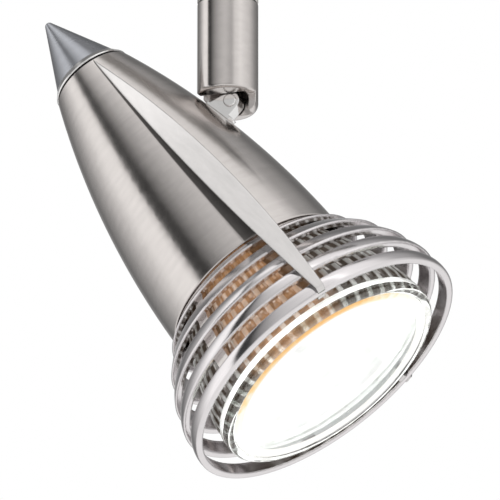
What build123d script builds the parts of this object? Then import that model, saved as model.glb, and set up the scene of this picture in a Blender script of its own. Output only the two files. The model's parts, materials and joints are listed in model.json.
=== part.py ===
from build123d import *
import os
from math import atan2, cos, radians, sin, sqrt, tan

# Track spotlight: a finned, ringed bullet head on a swivel stem under a track adapter.
# Millimetres. The origin is the middle of the adapter's flat top, which seats in the
# track; +Z is up, so the whole fixture hangs below the origin. The head tilts in the
# XZ plane and aims towards +X and down.

# ---------------------------------------------------------------- driving dimensions
# Adapter
COVER_LENGTH = 84.0
COVER_WIDTH = 15.6
COVER_HEIGHT = 11.0
TRAY_LENGTH = 92.0
TRAY_WIDTH = 33.0
TRAY_HEIGHT = 13.0
LID_THICKNESS = 2.0
HOUSING_WALL = 2.2
RAIL_CORNER_R = 1.2
TRAY_CORNER_R = 6.0
TRAY_EDGE_R = 1.8
CONTACT_LENGTH = 12.0
CONTACT_THICKNESS = 2.2
CONTACT_REACH = 1.7
CONTACT_ROOT = 1.6
CONTACT_X = 25.0
EARTH_OFFSET = 19.2
TERMINAL_X = 26.0
TERMINAL_LENGTH = 20.0
TERMINAL_WIDTH = 16.0
TERMINAL_PITCH = 5.0
TERMINAL_HOLE_R = 1.6
TERMINAL_HOLE_DEPTH = 4.0
TERMINAL_HEADROOM = 0.6

# Locking rotor and its lever
LOCK_X = 27.0
LOCK_SHAFT_R = 3.0
LOCK_BOSS_LENGTH = 2.2
LOCK_PIVOT_DEPTH = 0.8
LOCK_EAR_REACH = 11.0
LOCK_EAR_WIDTH = 7.0
LOCK_EAR_THICKNESS = 2.0
LEVER_LENGTH = 21.0
LEVER_THICKNESS = 2.6
LEVER_HALF_WIDTH = 3.0
LEVER_HUB_R = 5.0
LEVER_EDGE_R = 0.5
LEVER_SCREW_REACH = 5.5

# Screws
HOUSING_SCREW_R = 1.25
HOUSING_SCREW_HEAD_R = 2.4
HOUSING_SCREW_SEAT = 1.6
HOUSING_SCREW_SINK = 0.3
HOUSING_SCREW_SKIN = 0.4
HOUSING_SCREW_INSET_X = 6.0
HOUSING_SCREW_INSET_Y = 5.5
HOUSING_BOSS_R = 3.2
SMALL_SCREW_R = 1.18
SMALL_SCREW_HEAD_R = 2.2
SMALL_SCREW_HEAD = 1.2
DRIVE_SLOT_WIDTH = 0.6
DRIVE_SLOT_DEPTH = 0.6

# Stem and swivel barrel
STEM_R = 6.25
STEM_WALL = 1.4
SPIGOT_R = 3.6
WIRE_BORE_R = 2.4
COLLAR_R = 9.5
COLLAR_HEIGHT = 3.5
COLLAR_ROUND = 1.2
LOCKNUT_R = 9.0
LOCKNUT_HEIGHT = 3.5
STEM_INTO_TRAY = 9.0
STEM_EDGE = 0.25
SEAT_TO_PIVOT = 120.0
BARREL_LENGTH = 21.5
BARREL_END_ROUND = 2.0
BARREL_END_DROP = 2.1
BUSH_RISE = 0.5
BUSH_LENGTH = 9.5
PAN_SPRING_HEIGHT = 0.6
PAN_NUT_HEIGHT = 3.4
PAN_TAB_HEIGHT = 2.4
PAN_TAB_SWEEP = 24.0
PAN_GAP = 0.3
STOP_SCREW_R = 1.0
STOP_SCREW_RISE = 1.5
STOP_SCREW_REACH = 1.5

# Tilt knuckle
PIVOT_OFFSET = 1.0
PIVOT_PIN_R = 0.9
KNUCKLE_R = 1.95
KNUCKLE_THICKNESS = 3.4
PIVOT_HEAD_R = 1.35
PIVOT_HEAD_HEIGHT = 0.35
PIVOT_HEAD_ROUND = 0.2
CHEEK_SKIN = 0.9
FOOT_LENGTH = 7.0
FOOT_THICKNESS = 0.7
FOOT_DEPTH = 1.5
FOOT_MARGIN = 0.5
SLOT_R = 3.7
SLOT_CLEARANCE = 0.4
SHOULDER_RISE = 1.5
SHOULDER_ROUND = 0.7
REST_AIM = 53.5
MAX_AIM = 56.0
SHELL_CLEARANCE = 0.35
LUG_SCREW_R = 0.78
LUG_SCREW_HEAD_R = 1.6
LUG_SCREW_HEAD = 1.1
LUG_SCREW_BITE = 1.4
LUG_SCREW_DROP = 0.45

# Head, in stations measured along its axis from the point of the tail cone
PIVOT_TO_AXIS = 19.3
PIVOT_STATION = 42.9
CONE_LENGTH = 16.9
CONE_HALF_ANGLE = 24.5
CONE_TIP_R = 0.9
TAIL_COLLAR_LENGTH = 1.4
TAIL_COLLAR_FLARE = 0.85
TAIL_COLLAR_EDGE = 0.25
TAIL_NECK_SINK = 1.4
TAIL_GAP = 0.6
TAIL_STUD_R = 2.0
TAIL_STUD_SINK = 5.0
TAIL_NUT_R = 4.0
TAIL_NUT_HEIGHT = 3.0
SHELL_LENGTH = 59.6
SHELL_REAR_R = 8.9
SHELL_MIDDLE_R = 17.15
SHELL_FRONT_R = 20.45
SHELL_WALL = 1.1
SHELL_EDGE_R = 0.3
BULKHEAD = 1.8

# Front cage
RING_COUNT = 5
RING_PITCH = 5.3
RING_GAP = 2.5
RING_THICKNESS = 1.5
RING_STEP = 0.3
RING_EDGE_R = 0.35
RING_BULGE = 0.22
CAGE_FRONT_R = 31.3
FIRST_RING_LENGTH = 2.0
FIRST_RING_GAP = 0.5
FIRST_RING_BULGE = 0.08
FIN_ANGLE = 70.4
FIN_WIDTH = 5.2
FIN_WIDEST = 0.42
FIN_TIP_WIDTH = 1.5
FIN_TIP_CUT = 0.7
FIN_START_GAP = 0.4
FIN_START_PROUD = 0.5
FIN_START_DEPTH = 4.0
FIN_PROUD = 1.1
FIN_MIDDLE_PROUD = 4.8
FIN_FRONT_DEPTH = 2.6
FIN_REAR_DEPTH = 1.8
STRUT_ANGLE = 117.0
STRUT_SWEEP = 6.0
STRUT_THICKNESS = 1.3
STRUT_OVERLAP = 0.25
STRUT_ROOT = 5.0
STRUT_ROOT_STEP = 0.5
STRUT_FRONT_GAP = 1.2

# Reflector lamp with a twist-and-lock base, and its holder
LAMP_R = 25.0
LAMP_LENGTH = 56.5
LAMP_PROUD = 1.8
LAMP_RIM = 3.4
LAMP_RIM_WIDTH = 1.6
LAMP_EDGE = 0.5
LAMP_GLASS = 1.8
LAMP_GLASS_BEVEL = 1.2
LAMP_WALL = 1.8
LAMP_NECK_R = 10.2
LAMP_BASE_LENGTH = 13.0
LAMP_BASE_R = 9.2
LAMP_BASE_EDGE = 0.6
CAPSULE_R = 4.2
CAPSULE_BORE_R = 2.6
CAPSULE_LENGTH = 20.0
CAPSULE_SINK = 2.0
CAPSULE_FOOT = 4.0
CAPSULE_CROWN = 2.5
CAPSULE_ROUND = 3.2
FILAMENT_R = 0.9
FILAMENT_LENGTH = 7.0
PIN_SPACING = 10.0
PIN_NECK_R = 1.5
PIN_HEAD_R = 2.4
PIN_HEAD_LENGTH = 2.0
PIN_HEAD_EDGE = 0.4
PIN_LENGTH = 7.0
PIN_ROOT = 4.0
HOLDER_R = 10.5
HOLDER_LENGTH = 14.0
HOLDER_WALL = 1.7
HOLDER_COVER = 2.0
HOLDER_EDGE_R = 0.8
HOLDER_SCREW_Y = 7.2
HOLDER_SCREW_BITE = 4.0
CONTACT_PLATE = 0.8
PLATE_DEPTH = 2.0
BRACKET_THICKNESS = 1.2
BRACKET_HOLE_R = 5.0
BRACKET_NOTCH = 8.0
TWIST = 20.0

# Leads
LEAD_R = 0.6
LEAD_START_X = 3.0
LEAD_SPREAD = 0.85
LEAD_TAIL = 0.8
LEAD_BEHIND = 3.6
LEAD_BESIDE = 2.0
STEM_LEAD_X = 1.1
STEM_LEAD_RISE = 6.5

# Clearances
TIGHT = 0.02
RUNNING = 0.05
EASY = 0.1
CONTACT_FIT = 0.15
LOOSE = 0.3

# ---------------------------------------------------------------- derived places
BASE = (Align.CENTER, Align.CENTER, Align.MIN)

TRAY_TOP = -COVER_HEIGHT - LID_THICKNESS
TRAY_BOTTOM = -COVER_HEIGHT - TRAY_HEIGHT
PIVOT = Vector(PIVOT_OFFSET, 0, -SEAT_TO_PIVOT)
BARREL_TOP = PIVOT.Z + BARREL_LENGTH
STEM_BOTTOM = BARREL_TOP + PAN_GAP
STEM_TOP = TRAY_BOTTOM + STEM_INTO_TRAY
BUSH_BOTTOM = STEM_BOTTOM + BUSH_RISE
BUSH_TOP = BUSH_BOTTOM + BUSH_LENGTH
PAN_NUT_BOTTOM = BUSH_TOP + PAN_SPRING_HEIGHT
PAN_NUT_TOP = PAN_NUT_BOTTOM + PAN_NUT_HEIGHT
STEM_BORE_R = STEM_R - STEM_WALL
SLOT_HALF = KNUCKLE_THICKNESS / 2 + SLOT_CLEARANCE

CONE_BASE_R = CONE_LENGTH * tan(radians(CONE_HALF_ANGLE))
TAIL_NECK_R = CONE_BASE_R - TAIL_NECK_SINK
SHELL_START = CONE_LENGTH + TAIL_COLLAR_LENGTH + TAIL_GAP
SHELL_END = SHELL_START + SHELL_LENGTH
CAGE_START = SHELL_END + FIRST_RING_GAP
FIRST_RING_END = CAGE_START + FIRST_RING_LENGTH
CAGE_FRONT = FIRST_RING_END + (RING_COUNT - 1) * RING_PITCH
LAMP_FRONT = CAGE_FRONT + LAMP_PROUD
PIN_TIP = LAMP_FRONT - LAMP_LENGTH
LAMP_BASE_REAR = PIN_TIP + PIN_LENGTH
LAMP_BASE_FRONT = LAMP_BASE_REAR + LAMP_BASE_LENGTH
HOLDER_FRONT = LAMP_BASE_REAR - LOOSE
HOLDER_REAR = HOLDER_FRONT - HOLDER_LENGTH
PIN_ROOM_REAR = PIN_TIP - PLATE_DEPTH
BRACKET_REAR = HOLDER_REAR - BRACKET_THICKNESS
FILAMENT_LOW = LAMP_BASE_FRONT + CAPSULE_FOOT + CAPSULE_SINK


def head_place(aim):
    """Frame of the head for an aim in degrees below level: Z forward, X to its top."""
    forward = Vector(cos(radians(aim)), 0, -sin(radians(aim)))
    top = Vector(sin(radians(aim)), 0, cos(radians(aim)))
    point = PIVOT - top * PIVOT_TO_AXIS - forward * PIVOT_STATION
    return Location(Plane(origin=point, x_dir=top, z_dir=forward))


HEAD = head_place(REST_AIM)


# ---------------------------------------------------------------- small builders
def rod(radius, low, high, x=0.0, y=0.0):
    """Round bar along Z between two heights."""
    return Pos(x, y, low) * Cylinder(radius, high - low, align=BASE)


def pipe(outer, inner, low, high):
    """Tube along Z between two heights."""
    return rod(outer, low, high) - rod(inner, low, high)


def block(x0, x1, y0, y1, z0, z1):
    """Box between two corners."""
    centre = Pos((x0 + x1) / 2, (y0 + y1) / 2, (z0 + z1) / 2)
    return centre * Box(x1 - x0, y1 - y0, z1 - z0)


def turned(*edges):
    """Solid turned about Z from the edges of its half section, drawn in the XZ plane."""
    return revolve(make_face(Wire(edges)), Axis.Z)


def turned_points(points):
    """Solid turned about Z from corner points (radius, station)."""
    corners = [(radius, 0, station) for radius, station in points]
    return revolve(make_face(Polyline(*corners, close=True)), Axis.Z)


def sector(solid, angle, sweep, reach=80.0):
    """The part of a turned solid that lies within a sweep of degrees about an angle."""
    half = tan(radians(sweep / 2)) * reach
    depth = 400.0
    corners = Polyline((0, 0), (reach, -half), (reach, half), close=True)
    wedge = Pos(0, 0, -depth / 2) * extrude(make_face(corners), depth)
    return solid & (Rot(0, 0, angle) * wedge)


def arc_between(start, middle, end):
    """Arc through three (radius, station) points of a half section."""
    points = [(radius, 0, station) for radius, station in (start, middle, end)]
    return ThreePointArc(*points)


def straight(start, end):
    return Line((start[0], 0, start[1]), (end[0], 0, end[1]))


def solid_of(shape):
    return shape.solids()[0]


def slotted(screw, radius, low, x=0.0, y=0.0):
    """Screw with a drive slot across the underside of its head."""
    half = DRIVE_SLOT_WIDTH / 2
    return screw - block(x - 2 * radius, x + 2 * radius, y - half, y + half, low,
                         low + DRIVE_SLOT_DEPTH)


# ---------------------------------------------------------------- adapter
def screw_places():
    """Four housing screws near the tray's corners."""
    x = TRAY_LENGTH / 2 - HOUSING_SCREW_INSET_X
    y = TRAY_WIDTH / 2 - HOUSING_SCREW_INSET_Y
    return [(i * x, j * y) for i in (-1, 1) for j in (-1, 1)]


def adapter_cover():
    rail = block(-COVER_LENGTH / 2, COVER_LENGTH / 2, -COVER_WIDTH / 2, COVER_WIDTH / 2,
                 -COVER_HEIGHT, 0)
    rail = fillet(rail.edges().filter_by(Axis.Z), RAIL_CORNER_R)
    lid = block(-TRAY_LENGTH / 2, TRAY_LENGTH / 2, -TRAY_WIDTH / 2, TRAY_WIDTH / 2,
                TRAY_TOP, -COVER_HEIGHT)
    lid = fillet(lid.edges().filter_by(Axis.Z), TRAY_CORNER_R)
    inner_x = COVER_LENGTH / 2 - HOUSING_WALL
    inner_y = COVER_WIDTH / 2 - HOUSING_WALL
    hollow = block(-inner_x, inner_x, -inner_y, inner_y, TRAY_TOP, -HOUSING_WALL)
    boss_low = -HOUSING_WALL - LOCK_BOSS_LENGTH
    boss = rod(LOCK_SHAFT_R, boss_low, -HOUSING_WALL, LOCK_X)
    body = rail + lid - hollow + boss
    body = body - rod(LOCK_SHAFT_R / 2 + RUNNING, boss_low, -HOUSING_WALL + LOCK_PIVOT_DEPTH, LOCK_X)
    ear_middle = lock_ear_height()
    ear_gap = LOCK_EAR_THICKNESS / 2 + LOOSE
    ear_run = LOCK_EAR_REACH + LOOSE
    body = body - block(LOCK_X - ear_run, LOCK_X + ear_run, -COVER_WIDTH, COVER_WIDTH,
                        ear_middle - ear_gap, ear_middle + ear_gap)
    for _, place in contact_places():
        body = body - place * contact_blank(CONTACT_FIT)
    for x, y in screw_places():
        body = body - rod(HOUSING_SCREW_R, TRAY_TOP, -COVER_HEIGHT - HOUSING_SCREW_SKIN, x, y)
    return body


def adapter_tray():
    tray = block(-TRAY_LENGTH / 2, TRAY_LENGTH / 2, -TRAY_WIDTH / 2, TRAY_WIDTH / 2,
                 TRAY_BOTTOM, TRAY_TOP)
    tray = fillet(tray.edges().filter_by(Axis.Z), TRAY_CORNER_R)
    tray = fillet(tray.faces().sort_by(Axis.Z)[0].edges(), TRAY_EDGE_R)
    inner_x = TRAY_LENGTH / 2 - HOUSING_WALL
    inner_y = TRAY_WIDTH / 2 - HOUSING_WALL
    hollow = block(-inner_x, inner_x, -inner_y, inner_y, TRAY_BOTTOM + HOUSING_WALL, TRAY_TOP)
    hollow = fillet(hollow.edges().filter_by(Axis.Z), TRAY_CORNER_R - HOUSING_WALL)
    body = tray - hollow
    for x, y in screw_places():
        body = body + (rod(HOUSING_BOSS_R, TRAY_BOTTOM + HOUSING_WALL / 2, TRAY_TOP, x, y) & tray)
    for x, y in screw_places():
        body = body - rod(HOUSING_SCREW_R + EASY, TRAY_BOTTOM, TRAY_TOP, x, y)
        body = body - rod(HOUSING_SCREW_HEAD_R + LOOSE, TRAY_BOTTOM,
                          TRAY_BOTTOM + HOUSING_SCREW_SEAT, x, y)
    body = body - rod(STEM_R + RUNNING, TRAY_BOTTOM, TRAY_TOP)
    body = body - rod(LOCK_SHAFT_R + RUNNING, TRAY_BOTTOM, TRAY_TOP, LOCK_X)
    return body


def housing_screws():
    screws = []
    for x, y in screw_places():
        low = TRAY_BOTTOM + HOUSING_SCREW_SINK
        high = -COVER_HEIGHT - HOUSING_SCREW_SKIN - EASY
        shank = rod(HOUSING_SCREW_R - TIGHT, low, high, x, y)
        head = rod(HOUSING_SCREW_HEAD_R, low, TRAY_BOTTOM + HOUSING_SCREW_SEAT, x, y)
        screws.append(solid_of(slotted(shank + head, HOUSING_SCREW_HEAD_R, low, x, y)))
    return Compound(children=screws)


def contact_blank(grow=0.0):
    """Contact strip at its own origin: its inner end at y=0, reaching out along +Y."""
    long = CONTACT_LENGTH / 2 + grow
    thick = CONTACT_THICKNESS / 2 + grow
    return block(-long, long, -CONTACT_ROOT, HOUSING_WALL + CONTACT_REACH, -thick, thick)


def contact_places():
    """Live and neutral on either side of the cover, earth nearer the middle."""
    y = COVER_WIDTH / 2 - HOUSING_WALL
    z = -0.62 * COVER_HEIGHT
    return [
        ("contact_live", Pos(-CONTACT_X, y, z)),
        ("contact_neutral", Pos(-CONTACT_X, -y, z) * Rot(0, 0, 180)),
        ("contact_earth", Pos(-CONTACT_X + EARTH_OFFSET, y, z)),
    ]


def contact_strip():
    strip = contact_blank()
    outer = strip.faces().sort_by(Axis.Y)[-1]
    return fillet(outer.edges().filter_by(Axis.Z), 0.8 * CONTACT_REACH)


def terminal_places():
    """Middle and two outer screws of the terminal block."""
    return [(-TERMINAL_X, side * TERMINAL_PITCH) for side in (-1, 0, 1)]


def terminal_block():
    top = TRAY_TOP - TERMINAL_HEADROOM
    half_length = TERMINAL_LENGTH / 2
    half_width = TERMINAL_WIDTH / 2
    body = block(-TERMINAL_X - half_length, -TERMINAL_X + half_length, -half_width, half_width,
                 TRAY_BOTTOM + HOUSING_WALL, top)
    for x, y in terminal_places():
        body = body - rod(TERMINAL_HOLE_R, top - TERMINAL_HOLE_DEPTH, top, x, y)
    return body


def terminal_screws():
    low = TRAY_TOP - TERMINAL_HEADROOM - TERMINAL_HOLE_DEPTH
    high = TRAY_TOP - TERMINAL_HEADROOM - LOOSE
    radius = TERMINAL_HOLE_R - EASY
    screws = []
    for x, y in terminal_places():
        screw = slotted(rod(radius, low, high, x, y), radius, high - DRIVE_SLOT_DEPTH, x, y)
        screws.append(solid_of(screw))
    return Compound(children=screws)


def lock_ear_height():
    return -HOUSING_WALL - LOCK_BOSS_LENGTH - LOOSE - LOCK_EAR_THICKNESS / 2


def lock_rotor():
    ear = lock_ear_height()
    half = LOCK_EAR_THICKNESS / 2
    shaft = rod(LOCK_SHAFT_R, TRAY_BOTTOM - LOOSE, ear + half, LOCK_X)
    pivot = rod(LOCK_SHAFT_R / 2, ear, -HOUSING_WALL + LOCK_PIVOT_DEPTH - LOOSE, LOCK_X)
    ears = block(LOCK_X - LOCK_EAR_WIDTH / 2, LOCK_X + LOCK_EAR_WIDTH / 2,
                 -LOCK_EAR_REACH, LOCK_EAR_REACH, ear - half, ear + half)
    ears = ears & rod(LOCK_EAR_REACH, ear - half, ear + half, LOCK_X)
    rotor = shaft + pivot + ears
    return rotor - rod(SMALL_SCREW_R + TIGHT, TRAY_BOTTOM - LOOSE,
                       TRAY_BOTTOM + LEVER_SCREW_REACH + BUSH_RISE, LOCK_X)


def lock_lever():
    top = TRAY_BOTTOM - LOOSE
    low = top - LEVER_THICKNESS
    hub = rod(LEVER_HUB_R, low, top, LOCK_X)
    arm = block(LOCK_X, LOCK_X + LEVER_LENGTH, -LEVER_HALF_WIDTH, LEVER_HALF_WIDTH, low, top)
    tip = rod(LEVER_HALF_WIDTH, low, top, LOCK_X + LEVER_LENGTH)
    lever = fillet((hub + arm + tip).faces().sort_by(Axis.Z)[0].edges(), LEVER_EDGE_R)
    lever = lever - rod(SMALL_SCREW_R + EASY, low, top, LOCK_X)
    return lever - rod(SMALL_SCREW_HEAD_R + EASY, low, low + SMALL_SCREW_HEAD, LOCK_X)


def lever_screw():
    low = TRAY_BOTTOM - LOOSE - LEVER_THICKNESS
    head = rod(SMALL_SCREW_HEAD_R, low, low + SMALL_SCREW_HEAD, LOCK_X)
    shank = rod(SMALL_SCREW_R, low, TRAY_BOTTOM + LEVER_SCREW_REACH, LOCK_X)
    return slotted(head + shank, SMALL_SCREW_HEAD_R, low, LOCK_X)


# ---------------------------------------------------------------- stem and swivel
def upper_stem():
    tube = pipe(STEM_R, STEM_BORE_R, STEM_BOTTOM, STEM_TOP)
    tube = chamfer(lowest_rim(tube), STEM_EDGE)
    return tube - stop_screw_blank(STOP_SCREW_R, -STEM_R - 1)


def lowest_rim(tube):
    """Outer one of the lowest circles of a tube."""
    circles = tube.edges().filter_by(GeomType.CIRCLE)
    return circles.group_by(Axis.Z)[0].sort_by(SortBy.RADIUS)[-1]


def stop_screw_blank(radius, start):
    """Bar along +X from a start outside the stem to the stop screw's point."""
    end = -STEM_BORE_R + STOP_SCREW_REACH
    place = Pos(start, 0, PAN_NUT_TOP + STOP_SCREW_RISE) * Rot(0, 90, 0)
    return place * Cylinder(radius, end - start, align=BASE)


def pan_stop_screw():
    return stop_screw_blank(STOP_SCREW_R - TIGHT, -STEM_R + EASY)


def stem_collar():
    collar = pipe(COLLAR_R, STEM_R + RUNNING, TRAY_BOTTOM - COLLAR_HEIGHT, TRAY_BOTTOM)
    return fillet(lowest_rim(collar), COLLAR_ROUND)


def stem_locknut():
    low = TRAY_BOTTOM + HOUSING_WALL
    hexagon = Pos(0, 0, low) * extrude(RegularPolygon(LOCKNUT_R, 6), LOCKNUT_HEIGHT)
    return hexagon - rod(STEM_R, low, low + LOCKNUT_HEIGHT)


def pan_bush():
    return pipe(STEM_BORE_R, SPIGOT_R + RUNNING, BUSH_BOTTOM, BUSH_TOP)


def pan_washer():
    """Low-friction washer that shows as the dark joint line in the stem."""
    return pipe(STEM_R - STEM_EDGE - EASY, SPIGOT_R + EASY, BARREL_TOP, STEM_BOTTOM)


def pan_spring():
    return pipe(STEM_BORE_R - LOOSE, SPIGOT_R + TIGHT, BUSH_TOP, PAN_NUT_BOTTOM)


def pan_nut():
    """Nut that carries the barrel, with a tab that meets the stop screw."""
    outer = STEM_BORE_R - 2 * EASY
    nut = pipe(outer, SPIGOT_R, PAN_NUT_BOTTOM, PAN_NUT_TOP)
    tab = pipe(outer, SPIGOT_R, PAN_NUT_BOTTOM, PAN_NUT_TOP + PAN_TAB_HEIGHT)
    return nut + sector(tab, 0.0, PAN_TAB_SWEEP)


def lug_slot():
    """Room for the knuckle: round about the pivot, open below and towards the head."""
    reach = 4 * STEM_R
    width = 2 * SLOT_HALF
    round_end = Pos(PIVOT.X, 0, PIVOT.Z) * Rot(90, 0, 0) * Cylinder(SLOT_R, width)
    below = block(PIVOT.X - reach, PIVOT.X + SLOT_R, -SLOT_HALF, SLOT_HALF,
                  PIVOT.Z - reach, PIVOT.Z)
    aside = block(PIVOT.X - reach, PIVOT.X, -SLOT_HALF, SLOT_HALF, PIVOT.Z - reach,
                  PIVOT.Z + SLOT_R)
    return round_end + below + aside


def swivel_barrel():
    low = PIVOT.Z - BARREL_END_DROP
    barrel = rod(STEM_R, low, BARREL_TOP)
    barrel = fillet(barrel.edges().sort_by(Axis.Z)[0], BARREL_END_ROUND)
    barrel = chamfer(barrel.edges().sort_by(Axis.Z)[-1], STEM_EDGE)
    barrel = barrel + rod(SPIGOT_R, BARREL_TOP - STEM_EDGE, PAN_NUT_TOP)
    near_cut = block(-2 * STEM_R, 2 * STEM_R, -2 * STEM_R, -SLOT_HALF / 3, low - 1,
                     PIVOT.Z + SHOULDER_RISE)
    barrel = barrel - near_cut
    shoulder = [e for e in barrel.edges().filter_by(GeomType.CIRCLE)
                if abs(e.center().Z - PIVOT.Z - SHOULDER_RISE) < 0.01]
    barrel = fillet(shoulder, SHOULDER_ROUND)
    barrel = barrel - lug_slot()
    barrel = barrel - rod(WIRE_BORE_R, PIVOT.Z + SLOT_R / 2, PAN_NUT_TOP)
    barrel = barrel - pivot_bar(PIVOT_PIN_R, SLOT_HALF, STEM_R)
    return barrel - head_place(MAX_AIM) * shell_outside(SHELL_CLEARANCE)


def pivot_bar(radius, start, end):
    """Bar along +Y on the tilt axis."""
    place = Pos(PIVOT.X, start, PIVOT.Z) * Rot(-90, 0, 0)
    return place * Cylinder(radius, end - start, align=BASE)


def pivot_screw():
    """Shoulder screw: fixed in the far cheek, with its domed head on the near side."""
    near = -KNUCKLE_THICKNESS / 2 - EASY
    shank = pivot_bar(PIVOT_PIN_R, near, STEM_R - CHEEK_SKIN)
    head = pivot_bar(PIVOT_HEAD_R, near - PIVOT_HEAD_HEIGHT, near)
    head = fillet(head.edges().sort_by(Axis.Y)[0], PIVOT_HEAD_ROUND)
    return shank + head


def friction_washer():
    gap_start = KNUCKLE_THICKNESS / 2 + RUNNING
    outer = pivot_bar(2 * PIVOT_PIN_R, gap_start, SLOT_HALF)
    return outer - pivot_bar(PIVOT_PIN_R + TIGHT, gap_start, SLOT_HALF)


def swivel_lug():
    """Tapered arm from the knuckle to a foot that sits on the shell, in the head's frame."""
    half = KNUCKLE_THICKNESS / 2
    centre = (PIVOT_TO_AXIS, PIVOT_STATION)
    foot_radius = foot_surface_radius()
    foot_half = FOOT_LENGTH / 2
    spread = PIVOT_TO_AXIS - foot_radius
    lean = atan2(foot_half - FOOT_MARGIN - KNUCKLE_R, spread)
    side_x = centre[0] + KNUCKLE_R * sin(lean)
    root = foot_radius - FOOT_DEPTH
    root_half = foot_half - FOOT_MARGIN
    arm_profile = Polyline(
        (side_x, centre[1] - KNUCKLE_R * cos(lean)),
        (root, centre[1] - root_half),
        (root, centre[1] + root_half),
        (side_x, centre[1] + KNUCKLE_R * cos(lean)),
        close=True,
    )
    side_plane = Plane(origin=(0, half, 0), x_dir=(1, 0, 0), z_dir=(0, -1, 0))
    arm = extrude(side_plane * make_face(arm_profile), 2 * half)
    hub = Pos(centre[0], 0, centre[1]) * Rot(90, 0, 0) * Cylinder(KNUCKLE_R, 2 * half)
    foot_blank = Pos(foot_radius, 0, centre[1]) * Rot(0, 90, 0) * Cylinder(foot_half, foot_half)
    foot = shell_outside(FOOT_THICKNESS) & foot_blank
    foot = foot & block(0, centre[0], -half, half, 0, SHELL_END)
    lug = (arm + hub + foot) - shell_outside(0.0)
    bore = Cylinder(PIVOT_PIN_R + RUNNING, 4 * half)
    lug = lug - Pos(centre[0], 0, centre[1]) * Rot(90, 0, 0) * bore
    return lug - lug_screw_blank(LUG_SCREW_R + TIGHT, 0.0, foot_radius + LUG_SCREW_BITE)


def foot_surface_radius():
    """Radius of the shell's outside at the pivot's station."""
    reach = (PIVOT_STATION - SHELL_START) / SHELL_LENGTH
    return shell_radius(reach)


def shell_radius(share):
    """Outside radius of the shell's arc at a share of its length."""
    (cr, cs), radius = shell_arc_circle()
    station = SHELL_START + share * SHELL_LENGTH
    return cr + sqrt(radius ** 2 - (station - cs) ** 2)


def shell_arc_circle():
    """Centre and radius of the circle through the shell's rear, middle and front."""
    points = shell_arc_points()
    (ax, ay), (bx, by), (cx, cy) = points
    d = 2 * (ax * (by - cy) + bx * (cy - ay) + cx * (ay - by))
    a2, b2, c2 = ax * ax + ay * ay, bx * bx + by * by, cx * cx + cy * cy
    ux = (a2 * (by - cy) + b2 * (cy - ay) + c2 * (ay - by)) / d
    uy = (a2 * (cx - bx) + b2 * (ax - cx) + c2 * (bx - ax)) / d
    return (ux, uy), sqrt((ax - ux) ** 2 + (ay - uy) ** 2)


def shell_arc_points():
    middle = SHELL_START + SHELL_LENGTH / 2
    return [(SHELL_REAR_R, SHELL_START), (SHELL_MIDDLE_R, middle), (SHELL_FRONT_R, SHELL_END)]


def shell_outside(grow, extra=0.0):
    """Solid body of the shell's outer form, grown or shrunk all over."""
    (cr, cs), radius = shell_arc_circle()
    radius = radius + grow
    low = SHELL_START - extra
    high = SHELL_END + extra
    middle = (low + high) / 2
    section = [(cr + sqrt(radius ** 2 - (s - cs) ** 2), s) for s in (low, middle, high)]
    return turned(
        straight((0, low), section[0]),
        arc_between(*section),
        straight(section[2], (0, high)),
        straight((0, high), (0, low)),
    )


def lug_screw_blank(radius, start, end):
    """Bar outward between two radii at the pivot's station."""
    place = Pos(0, 0, PIVOT_STATION) * Rot(0, 90, 0) * Pos(0, 0, start)
    return place * Cylinder(radius, end - start, align=BASE)


def lug_screw():
    """Screw from inside the shell, its head just clear of the shell's sloping inner face."""
    surface = foot_surface_radius()
    under = surface - SHELL_WALL - LUG_SCREW_DROP
    head = lug_screw_blank(LUG_SCREW_HEAD_R, under - LUG_SCREW_HEAD, under)
    return head + lug_screw_blank(LUG_SCREW_R, under - TIGHT, surface + LUG_SCREW_BITE - LOOSE)


# ---------------------------------------------------------------- shell and tail
def shell():
    body = shell_outside(0.0)
    cavity = shell_outside(-SHELL_WALL, extra=0.01)
    cavity = cavity & rod(4 * SHELL_FRONT_R, SHELL_START + BULKHEAD, SHELL_END + 1)
    body = body - cavity
    body = body - rod(TAIL_STUD_R + EASY, SHELL_START - 1, SHELL_START + BULKHEAD + 1)
    body = body - lug_screw_blank(LUG_SCREW_R + EASY, SHELL_REAR_R, 2 * SHELL_FRONT_R)
    for y in lead_offsets():
        hole = Pos(0, y, lead_hole_station()) * Rot(0, 90, 0) * Pos(0, 0, SHELL_REAR_R)
        body = body - hole * Cylinder(LEAD_R + EASY, SHELL_FRONT_R, align=BASE)
    rim = body.edges().filter_by(GeomType.CIRCLE).group_by(Axis.Z)[-1].sort_by(SortBy.RADIUS)[-1]
    return fillet(rim, SHELL_EDGE_R)


def tail_cone():
    """Cone with a ball point and a spigot that the collar sits on."""
    half = radians(CONE_HALF_ANGLE)
    ball_centre = CONE_TIP_R / sin(half)
    touch = (CONE_TIP_R * cos(half), ball_centre - CONE_TIP_R * sin(half))
    crown = (CONE_TIP_R * sin(radians(45)), ball_centre - CONE_TIP_R * cos(radians(45)))
    rear = SHELL_START - TAIL_GAP
    body = turned(
        arc_between((0, ball_centre - CONE_TIP_R), crown, touch),
        straight(touch, (CONE_BASE_R, CONE_LENGTH)),
        straight((CONE_BASE_R, CONE_LENGTH), (TAIL_NECK_R, CONE_LENGTH)),
        straight((TAIL_NECK_R, CONE_LENGTH), (TAIL_NECK_R, rear)),
        straight((TAIL_NECK_R, rear), (0, rear)),
        straight((0, rear), (0, ball_centre - CONE_TIP_R)),
    )
    return body - rod(TAIL_STUD_R, CONE_LENGTH - TAIL_STUD_SINK, SHELL_START)


def tail_collar():
    """Bright bevelled ring between the cone and the shell."""
    front = CONE_LENGTH + TAIL_COLLAR_LENGTH
    outer = CONE_BASE_R + CONTACT_FIT
    flared = outer + TAIL_COLLAR_FLARE
    return turned_points([(TAIL_NECK_R, CONE_LENGTH), (outer, CONE_LENGTH),
                          (flared, front - TAIL_COLLAR_EDGE), (flared - EASY, front),
                          (TAIL_NECK_R, front)])


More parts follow.
